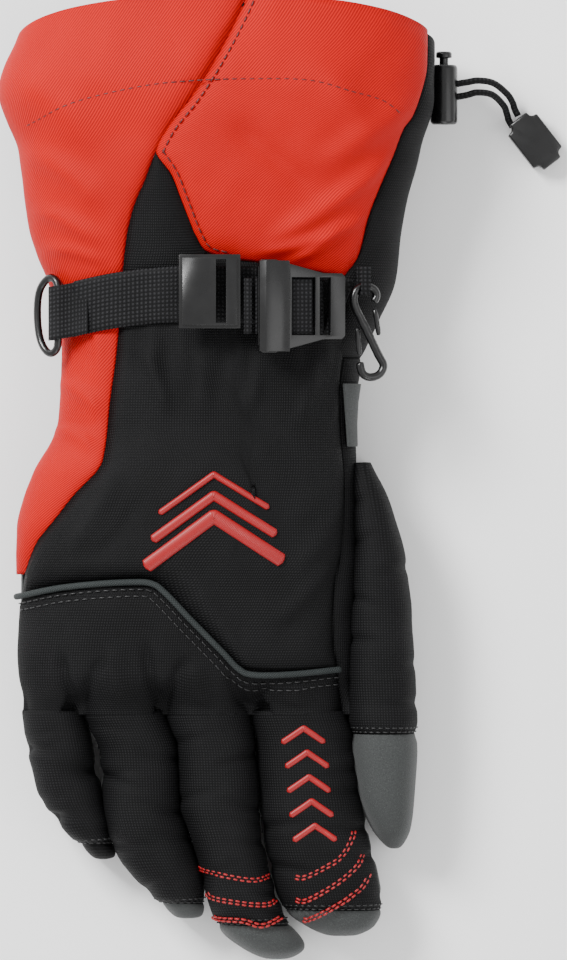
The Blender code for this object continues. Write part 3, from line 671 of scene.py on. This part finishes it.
def strip(name, line, normals, width, height, material, body, ridge_mm=0.55):
    """A raised satin-stitched stroke along a line."""
    p = np.asarray(line, float)
    reach = np.concatenate([[0], np.cumsum(np.linalg.norm(np.diff(p, axis=0), axis=1))])
    count = max(int(reach[-1] / (ridge_mm / 3)), 4)
    want = np.linspace(0, reach[-1], count)
    p = np.stack([np.interp(want, reach, p[:, k]) for k in range(3)], axis=1)
    n = np.stack([np.interp(want, reach, normals[:, k]) for k in range(3)], axis=1)
    along = np.gradient(p, axis=0)
    along /= np.linalg.norm(along, axis=1, keepdims=True)
    side = np.cross(along, n)
    side /= np.linalg.norm(side, axis=1, keepdims=True)
    profile = [(-1, -0.6), (-0.92, 0.35), (-0.55, 0.85), (0, 1), (0.55, 0.85), (0.92, 0.35), (1, -0.6)]
    ripple = 1 + 0.10 * np.cos(2 * math.pi * want / ridge_mm)
    end = np.minimum(want, reach[-1] - want)
    taper = np.clip(0.35 + end / 1.2, 0, 1)
    rows = []
    for across, up in profile:
        rows.append(p + side * (across * width / 2 * taper)[:, None]
                    + n * (up * height * ripple * taper)[:, None])
    verts = np.stack(rows, axis=1).reshape(-1, 3)
    k = len(profile)
    faces = grid_faces(count, k)
    faces += [(i * k, (i + 1) * k, (i + 1) * k + k - 1, i * k + k - 1) for i in range(count - 1)]
    faces += [tuple(range(k)), tuple(reversed(range((count - 1) * k, count * k)))]
    made = new_object(name, verts, faces, material)
    tidy_normals(made)
    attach(made, body)


def tidy_normals(made):
    """Merge doubled points and turn every face outward."""
    bm = bmesh.new()
    bm.from_mesh(made.data)
    bmesh.ops.remove_doubles(bm, verts=bm.verts, dist=1e-6)
    bmesh.ops.recalc_face_normals(bm, faces=bm.faces)
    bm.to_mesh(made.data)
    bm.free()


# ---------------------------------------------------------------- camera, floor and light
VIEW_DISTANCE = 3.0
VIEW_HEIGHT = 0.3456        # the height of the picture at the glove
GLOVE_MIDDLE = (0.01944, 0.0, 0.03)


def make_camera():
    data = bpy.data.cameras.new("camera")
    data.sensor_fit = "VERTICAL"
    data.sensor_height = 24
    data.lens = 24 * VIEW_DISTANCE / VIEW_HEIGHT
    data.clip_end = 20
    camera = bpy.data.objects.new("camera", data)
    camera.location = (GLOVE_MIDDLE[0], GLOVE_MIDDLE[1], GLOVE_MIDDLE[2] + VIEW_DISTANCE)
    bpy.context.collection.objects.link(camera)
    bpy.context.scene.camera = camera


def make_studio():
    floor_material, _, shader = nodes_of("pale floor")
    shader.inputs["Base Color"].default_value = (0.98, 0.98, 0.98, 1)
    shader.inputs["Roughness"].default_value = 0.9
    bm = bmesh.new()
    bmesh.ops.create_grid(bm, x_segments=1, y_segments=1, size=6)
    mesh = bpy.data.meshes.new("floor")
    bm.to_mesh(mesh)
    bm.free()
    floor = bpy.data.objects.new("floor", mesh)
    floor.location.z = -0.0002
    floor.data.materials.append(floor_material)
    bpy.context.collection.objects.link(floor)
    world = bpy.data.worlds.new("studio")
    bpy.context.scene.world = world
    world.use_nodes = True
    world.node_tree.nodes["Background"].inputs["Color"].default_value = (1, 1, 1, 1)
    world.node_tree.nodes["Background"].inputs["Strength"].default_value = 0.95
    for name, place, power, size in (("key", (-0.9, 0.9, 1.2), 52, 0.6), ("fill", (1.1, -0.3, 1.3), 8, 1.2),
                                     ("rim", (0.2, -1.5, 0.9), 9, 0.8)):
        data = bpy.data.lights.new(name, "AREA")
        data.energy = power
        data.size = size
        light = bpy.data.objects.new(name, data)
        light.location = place
        light.rotation_euler = (Vector(GLOVE_MIDDLE) - Vector(place)).to_track_quat("-Z", "Y").to_euler()
        bpy.context.collection.objects.link(light)


# ---------------------------------------------------------------- cords
STRANDS = {
    "drawcord_strand_a": [(80.5, 143.0, 18), (82.8, 143.3, 18), (86, 143.8, 18), (90, 144.4, 17.2),
                          (95.5, 143.6, 13.6), (100.5, 140.0, 8.2), (102.6, 137.0, 5.2),
                          (103.3, 134.9, 4.2), (104.6, 132.2, 4.2)],
    "drawcord_strand_b": [(80.5, 138.3, 18), (82.8, 138.6, 18), (86, 139.2, 18.1), (89.6, 140.1, 17.6),
                          (95, 139.4, 14.2), (99.2, 135.8, 8.6), (100.6, 132.6, 5.2),
                          (101.2, 130.6, 4.2), (102.6, 128.2, 4.2)],
}
STRAND_DIAMETER = 2.4


def make_cords():
    ends = [refine(node, 0.0007, PLASTIC) for node in ("cord_end_base", "cord_end_lid")]
    for node, route in STRANDS.items():
        line = path_points(route, 90)
        radius = STRAND_DIAMETER / 2
        made = rod(node + "_braid", line, radius, WEB, "hand", sides=20)
        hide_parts(node)


BEVEL_SEGMENTS = 3


def refine(node, bevel, material, subdivide=0, ride=True):
    """A copy of a part, softened at its edges, that stands for its plain solid."""
    made = bpy.data.objects.new(node + "_finished", frame["nodes"][node].data.copy())
    bpy.context.collection.objects.link(made)
    bm = bmesh.new()
    bm.from_mesh(made.data)
    bmesh.ops.remove_doubles(bm, verts=bm.verts, dist=1e-6)
    if bevel:
        bmesh.ops.dissolve_limit(bm, angle_limit=math.radians(2), verts=bm.verts, edges=bm.edges)
    bmesh.ops.recalc_face_normals(bm, faces=bm.faces)
    bm.to_mesh(made.data)
    bm.free()
    made.data.materials.clear()
    made.data.materials.append(material)
    made.data.shade_smooth()
    layer = made.data.uv_layers.new(name="UVMap")
    places = np.array([made.data.vertices[corner.vertex_index].co[:2] for corner in made.data.loops]) / MM
    layer.data.foreach_set("uv", places.ravel())
    if bevel:
        step = made.modifiers.new("edges", "BEVEL")
        step.width = bevel
        step.segments = BEVEL_SEGMENTS
        step.limit_method = "ANGLE"
        step.angle_limit = math.radians(30)
    if subdivide:
        step = made.modifiers.new("finer", "SUBSURF")
        step.levels = step.render_levels = subdivide
    if ride:
        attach(made, body_with(node))
    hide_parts(node)
    return made


def body_with(node):
    for body, members in frame["record"]["behaviour"]["bodies"].items():
        if node in members:
            return body
    return "hand"


# ---------------------------------------------------------------- gauntlet and hand


def edge_on(angle_low, angle_high, y_low, y_high, count):
    """A straight edge in angle and y."""
    t = np.linspace(0, 1, count)[:, None]
    return (1 - t) * np.array([angle_low, y_low]) + t * np.array([angle_high, y_high])


def rectangle(angle_low, angle_high, y_low, y_high, columns, rows):
    """A panel grid between two angles and two values of y."""
    return coons(edge_on(angle_low, angle_high, y_low, y_low, columns),
                 edge_on(angle_high, angle_high, y_low, y_high, rows),
                 edge_on(angle_low, angle_high, y_high, y_high, columns),
                 edge_on(angle_low, angle_low, y_low, y_high, rows))


def make_red_panels():
    columns, rows = 64, 150
    seam = on_hand(path_points(LEFT_EDGE[::-1], rows))
    left = edge_on(math.pi, math.pi, LEFT_EDGE[-1][1], 157, rows)
    bottom = np.stack([np.linspace(left[0][0], seam[0][0], columns), np.full(columns, seam[0][1])], axis=1)
    top = np.stack([np.linspace(math.pi, seam[-1][0], columns), np.full(columns, 157.0)], axis=1)
    seam[-1][1] = 157
    grid = coons(bottom, seam, top, left)
    made = patch("left_gauntlet_cloth", "hand", grid, RED, "hand", settled_hand,
                 open_edges=("top", "bottom"))
    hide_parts("gauntlet_left_panel")

    rows = 72
    left = on_hand(path_points(WEDGE_EDGE[3::-1] + CENTRE_SEAM[-2::-1], rows))
    left[-1][1] = 157
    right = on_hand(path_points(GUSSET_EDGE[::-1], rows))
    right[-1][1] = 157
    bottom = on_hand(path_points(WEDGE_EDGE[3:], 72))
    top = np.stack([np.linspace(left[-1][0], right[-1][0], 72), np.full(72, 157.0)], axis=1)
    left[0] = bottom[0]
    right[0] = bottom[-1]
    made = patch("right_gauntlet_cloth", "hand", coons(bottom, right, top, left), RED, "hand",
                 settled_hand, open_edges=("top",))
    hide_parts("gauntlet_right_panel")


def make_back():
    columns, rows = 84, 120
    left = on_hand(path_points(LEFT_EDGE[:3:-1], rows))
    right = on_hand(path_points(HAND_SEAM[::-1], rows))
    top = on_hand(path_points(WEDGE_EDGE, columns))
    bottom = on_hand(path_points(WELT, columns))
    left[0] = bottom[0]
    left[-1], right[-1] = top[0], top[-1]
    right[0] = bottom[-1]
    made = patch("back_cloth", "hand", coons(bottom, right, top, left), BLACK, "hand",
                 settled_hand)
    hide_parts("gauntlet_wedge", "back_panel", "back_panel_lower")

    xs = np.linspace(-74.4, 40.2, 110)
    bottom = np.stack([angle_of("hand", xs, np.full(110, -84.5)), np.full(110, -84.5)], axis=1)
    top = on_hand(path_points(WELT, 110))
    left = np.linspace(bottom[0], top[0], 50)
    right = np.linspace(bottom[-1], top[-1], 50)
    made = patch("knuckle_cloth", "hand", coons(bottom, right, top, left), BLACK, "hand",
                 settled_hand, open_edges=("bottom",))
    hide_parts("knuckle_panel", "finger_root_panel")

    line, _ = surface_line("hand", WELT, 160, 1.0)
    made = rod("knuckle_welt", line, 1.15, PIPING, "hand", sides=12)
    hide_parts("knuckle_piping")


def flat_relief(x, y):
    return 0.25 * noise(x, y, 24, 31) * ramp(-84, -70, y)


PALM_SEAM_ANGLE = -0.35      # where the palm leather meets the side of the hand
PATCH_NEAR_ANGLE, PATCH_FAR_ANGLE = -0.70, -2.45


def make_underside():
    columns, rows = 110, 84
    gusset = on_hand(path_points(([(42.3, 62)] + GUSSET_EDGE[::-1]), rows))
    gusset = np.vstack([edge_on(gusset[0][0], gusset[0][0], 44, 60.9, 12), gusset])
    rows = len(gusset)
    gusset[-1][1] = 157
    left = np.stack([np.full(rows, -math.pi), gusset[:, 1]], axis=1)
    bottom = edge_on(-math.pi, gusset[0][0], 44, 44, columns)
    top = edge_on(-math.pi, gusset[-1][0], 157, 157, columns)
    made = patch("gauntlet_underside_cloth", "hand", coons(bottom, gusset, top, left), BLACK,
                 "hand", flat_relief, open_edges=("top",), bulge=0.7, lift=0.2)
    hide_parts("gauntlet_underside", "side_gusset")

    seam = on_hand(path_points([(40.2, -84.5), (39.1, -68), (37.6, -57), (38.0, -38), (41.0, -23),
                                (41.8, 0), (40.6, 15), (40.2, 35), (41.2, 44)], 90))
    lower = np.stack([np.full(90, PALM_SEAM_ANGLE), seam[:, 1]], axis=1)
    bottom = edge_on(PALM_SEAM_ANGLE, seam[0][0], seam[0][1], seam[0][1], 26)
    top = edge_on(PALM_SEAM_ANGLE, seam[-1][0], seam[-1][1], seam[-1][1], 26)
    patch("hand_side_cloth", "hand", coons(bottom, seam, top, lower), BLACK, "hand",
          settled_hand, open_edges=("bottom",), bulge=1.0)

    grid = rectangle(-math.pi, PALM_SEAM_ANGLE, -84, 44, 90, 80)
    made = patch("palm_leather", "hand", grid, NUBUCK, "hand", flat_relief, bulge=0.4,
                 lift=-0.6, open_edges=("bottom",))
    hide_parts("palm_panel")
    grid = rectangle(PATCH_FAR_ANGLE, PATCH_NEAR_ANGLE, -58, 38, 60, 60)
    made = patch("palm_patch_leather", "hand", grid, NUBUCK, "hand", flat_relief,
                 bulge=0.1, lift=0.3, seam=0.4, thickness=1.2)
    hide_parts("palm_patch")


def loop_points(y, inset, count, rise_extra=0.0):
    angle = np.linspace(0, 2 * math.pi, count, endpoint=False)
    row = np.full(count, float(y))
    base = body_point("hand", angle, row)
    return base - body_normal("hand", angle, row) * inset + np.array([0, rise_extra, 0])


LINER_INSET = 10.8


def make_mouth():
    made = rod("hem_binding", loop_points(155.4, 2.6, 220), 2.0, BLACK, "hand", sides=16,
               closed=True)
    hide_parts("gauntlet_hem")
    rows = [(156.4, 2.4), (156.2, 5.0), (155.0, 9.0), (152, 10.6)]
    rows += [(y, LINER_INSET) for y in (147, 140, 128, 100, 72, 50, 20, -20, -50, -64)]
    rings = [loop_points(y, inset, 120) for y, inset in rows]
    verts = np.vstack(rings)
    uv = [(k * 3.4, y) for y, _ in rows for k in range(120)]
    made = new_object("liner_cloth", verts, grid_faces(len(rows), 120, wrap=True), LINING,
                      "hand", uv, subdivide=1)
    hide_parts("liner_sleeve")
    for node, material in (("insulation_sleeve", PADDING), ("membrane_sleeve", FILM),
                           ("hem_drawcord", WEB)):
        bpy.data.objects[node].data.materials.clear()
        bpy.data.objects[node].data.materials.append(material)


# ---------------------------------------------------------------- digits
CAP_START = {"index": 0.885, "middle": 0.86, "ring": 0.93, "little": 0.90, "thumb": 0.70}
BACK_LEAN = 0.16             # how far round the side the back of a digit reaches short of mid height


def make_digit(which):
    table = DIGITS[which]
    base, tip = table[0][0], table[-1][0]
    cap_y = base + (tip - base) * CAP_START[which]
    body = which + "_digit"
    if which == "thumb":
        joint = ("hand", body, (0.0545, 0.004, 0.017), (0.0545, -0.030, 0.017))
    else:
        x = section(which, -90.0)[0] * MM
        joint = ("hand", body, (x, -0.0825, 0.017), (x, -0.1010, 0.017))
    rows = int(abs(cap_y - base) / 1.1)
    start = base + (0.8 if which != "thumb" else 0)

    def relief(x, y):
        return digit_relief(which, x, y)

    def tube_part(name, low, high, columns, material, bulge):
        grid = rectangle(low, high, start, cap_y, columns, rows)
        return patch(name, which, grid, material, body, relief, bulge=bulge, blend=joint,
                     open_edges=("bottom",))

    back = tube_part(which + "_back_cloth", BACK_LEAN, math.pi - BACK_LEAN, 44, BLACK, 1.5)
    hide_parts(which + "_back")
    under = tube_part(which + "_palm_leather", math.pi - BACK_LEAN, 2 * math.pi + BACK_LEAN, 52, NUBUCK,
                      0.6)
    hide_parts(which + "_palm")

    columns, cap_rows = 72, 22
    ys = cap_y + (tip - cap_y) * (1 - (1 - np.linspace(0, 1, cap_rows)) ** 1.7)
    angle = np.linspace(0, 2 * math.pi, columns, endpoint=False)
    rings = []
    for i, y in enumerate(ys):
        row = np.full(columns, y)
        p = body_point(which, angle, row)
        middle = p.mean(axis=0)
        shrink = math.sqrt(max(1 - (i / (cap_rows - 1)) ** 5, 0.0))
        p = middle + (p - middle) * shrink
        d = abs(y - cap_y)
        puff = (1.3 * (1 - math.exp(-d / 2.0)) - 0.6) * shrink
        p = p + body_normal(which, angle, row) * puff
        p[:, 2] = np.maximum(p[:, 2], 0.15)
        rings.append(p)
    verts = np.vstack(rings)
    uv = [(k * 1.4, y) for y in ys for k in range(columns)]
    faces = grid_faces(cap_rows, columns, wrap=True)
    material, slot = (BLACK, "black_fabric") if which == "little" else (NUBUCK, "grey_leather")
    made = new_object(which + "_tip_leather", verts, faces, material, None, uv)
    tidy_normals(made)
    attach(made, body)
    if which != "little":
        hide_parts(which + "_tip_patch")
    lining = refine(which + "_lining", 0, LINING, ride=False)
    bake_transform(lining)
    for k, shift in enumerate((0.9, 2.4)):
        angle = np.linspace(0.2, math.pi - 0.2, 60)
        row = np.full(60, cap_y + shift)
        if row[0] > base - 2:
            continue
        p = body_point(which, angle, row)
        n = body_normal(which, angle, row)
        lift = 0.15 + 0.55 * k
        stitch_row(f"{which}_cap_stitches_{k}", p + n * lift, n, THREAD_BLACK, body,
                   length=1.8)


# ---------------------------------------------------------------- strap, hardware and thread
STRAP_MIDDLE = [(-62, 60), (-40, 64.5), (-18, 66.6), (8, 66), (25, 64), (40, 61.5)]
HARDWARE = (("ladder_lock", 0.0005), ("pull_tab", 0.0006), ("cord_lock_body", 0.0004),
            ("cord_lock_plunger", 0.0004), ("side_ring", 0), ("snap_hook", 0), ("upper_gate", 0),
            ("lower_gate", 0))


RING_FOLD = [(-50.5, 46.6), (-54.5, 44.6), (-58.0, 44.4), (-61.2, 44.7), (-63.4, 43.6), (-64.2, 41.8),
             (-63.2, 39.9), (-61.2, 39.4), (-58.6, 40.4), (-56.0, 42.0)]     # x and z, round the ring's bar


def make_ring_fold():
    """The end of the strap folded round the bar of the side ring."""
    line = path_points(RING_FOLD, 60)
    along = np.gradient(line, axis=0)
    along /= np.linalg.norm(along, axis=1, keepdims=True)
    out = np.stack([along[:, 1], -along[:, 0]], axis=1)
    v = np.linspace(-9.6, 9.6, 18)
    middle = np.interp(line[:, 0], [-64, -50], [59.6, 62.2])
    sides = []
    for shift in (0.7, -0.7):
        xz = line + out * shift
        sides.append(np.stack([np.repeat(xz[:, :1], 18, axis=1), middle[:, None] + v[None],
                               np.repeat(xz[:, 1:], 18, axis=1)], axis=-1))
    rows = np.concatenate([sides[0], sides[1][:, ::-1]], axis=1)
    faces = grid_faces(60, 36, wrap=True) + [tuple(range(36)), tuple(59 * 36 + k for k in range(36))]
    uv = [(k * 0.5, b) for k in range(60) for b in list(v) + list(v[::-1])]
    made = new_object("strap_ring_fold", rows.reshape(-1, 3), faces, WEB, None, uv)
    tidy_normals(made)
    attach(made, "hand")


def make_strap():
    across, count = 18, 150
    line = path_points(STRAP_MIDDLE, 400)
    xs = np.linspace(-54.5, 33.0, count)
    middle = np.interp(xs, line[:, 0], line[:, 1])
    v = np.linspace(-10, 10, across)
    x = np.repeat(xs[:, None], across, axis=1)
    y = middle[:, None] + v[None]
    angle = angle_of("hand", x, y)
    base = body_point("hand", angle, y)
    normal = body_normal("hand", angle, y)
    ribs = 0.10 * np.cos(xs[:, None] * 2 * math.pi / 1.6) * (np.abs(v)[None] < 8.8)
    edge = 0.35 * (np.abs(v)[None] > 9) + 0.12 * (np.abs(np.abs(v)[None] - 8.6) < 0.9)
    top = base + normal * (2.8 + ribs - edge)[..., None]
    low = base + normal * 1.2
    rows = np.concatenate([top, low[:, ::-1]], axis=1)
    k = 2 * across
    faces = grid_faces(count, k, wrap=True)
    faces += [tuple(reversed(range(k))), tuple(range((count - 1) * k, count * k))]
    uv = [(a, b) for a in xs for b in list(v) + list(v[::-1])]
    made = new_object("wrist_strap_webbing", rows.reshape(-1, 3), faces, WEB, None, uv)
    tidy_normals(made)
    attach(made, "hand")
    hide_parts("wrist_strap")
    make_ring_fold()
    for node in ("strap_bight", "strap_tail", "buckle_web_loop", "hook_loop"):
        refine(node, 0.0003, WEB)
    refine("wrist_tab", 0.0003, NUBUCK)
    for node, bevel in HARDWARE:
        refine(node, bevel, PLASTIC, subdivide=0 if bevel else 1)
    spring = frame["nodes"]["cord_lock_spring"]
    spring.data.materials.clear()
    spring.data.materials.append(STEEL)


def seam_stitches():
    line, normals = surface_line("hand", WELT, 240, 1.25, offset=-2.6)
    stitch_row("welt_stitches_near", line, normals, THREAD_BLACK, "hand")
    line, normals = surface_line("hand", WELT, 240, 1.5, offset=-5.0)
    stitch_row("welt_stitches_far", line, normals, THREAD_BLACK, "hand")
    line, normals = surface_line("hand", CENTRE_SEAM, 120, 1.2, offset=2.4)
    stitch_row("centre_stitches", line, normals, THREAD_DARK_RED, "hand")
    line, normals = surface_line("hand", WEDGE_EDGE[:6], 120, 1.2, offset=2.4)
    stitch_row("wedge_stitches", line, normals, THREAD_DARK_RED, "hand")
    hem = [(-72, 127), (-55.3, 134.0), (-32.9, 138), (-13.9, 139.5), (6.3, 140), (28.3, 139.8),
           (42.7, 137.2), (53.8, 135), (60, 131)]
    line, normals = surface_line("hand", hem, 240, 1.45)
    stitch_row("hem_stitches", line, normals, THREAD_DARK_RED, "hand")


FINGER_ROWS = {
    "middle": [[(-10.6, -139.7), (-6.3, -141.1), (3.8, -143.3), (9.2, -144), (13.5, -142.9)],
               [(-7.2, -147.9), (-5.0, -150.1), (5.6, -152.3), (13.1, -153), (15.9, -151.6)],
               [(-5.0, -156.5), (-3.5, -157.7), (4.9, -158.4), (11.7, -160.2), (18.5, -157.7)]],
    "index": [[(23.6, -142.6), (27.2, -142.9), (34.4, -139.3), (40.1, -135.4), (44.8, -126)],
              [(23.9, -150.5), (27.2, -151.2), (34.4, -147.6), (40.9, -143.3), (45.9, -138.2),
               (48.1, -133.6)],
              [(26.5, -157.3), (28.6, -157.7), (35.8, -154.4), (44.5, -149), (47.7, -145.8),
               (49.5, -141.5)]],
}


def stroke(name, which, points, width, body, lift, height=1.0):
    """A satin stroke in red thread along straight runs over a body."""
    line, normals = surface_line(which, points, 120, lift, smooth=False)
    strip(name, line, normals, width, height, THREAD_RED, body)


def embroidery():
    """Plain raised chevrons in satin stitch, a pattern of no maker."""
    for k, width in enumerate((5.2, 3.6, 2.4)):
        left, right = (-30.0 + 2.5 * k, -31 + 9.5 * k), (19.0 - 2.5 * k, -29 + 9.5 * k)
        middle = ((left[0] + right[0]) / 2, left[1] + 18.0 - 2.0 * k)
        stroke(f"back_chevron_{k}", "hand", [left, middle, right], width, "hand", 1.6)
    for k in range(5):
        y = -91 - 8.8 * k
        mid = section("index", float(y))[0]
        stroke(f"finger_chevron_{k}", "index", [(mid - 7.5, y - 3.4), (mid, y + 2.0), (mid + 7.5, y - 3.4)],
               2.4, "index_digit", 1.25, height=0.8)
    for which, rows in FINGER_ROWS.items():
        for k, points in enumerate(rows):
            for n, shift in enumerate((-0.55, 0.55)):
                line, normals = surface_line(which, points, 120, 1.4, offset=shift)
                stitch_row(f"{which}_red_row_{k}_{n}", line, normals, THREAD_RED,
                           which + "_digit", length=2.0, gap=0.5, radius=0.42)


make_red_panels()
make_back()
make_underside()
make_mouth()
for _name in DIGITS:
    make_digit(_name)
make_strap()
seam_stitches()
embroidery()
make_cords()
make_camera()
make_studio()
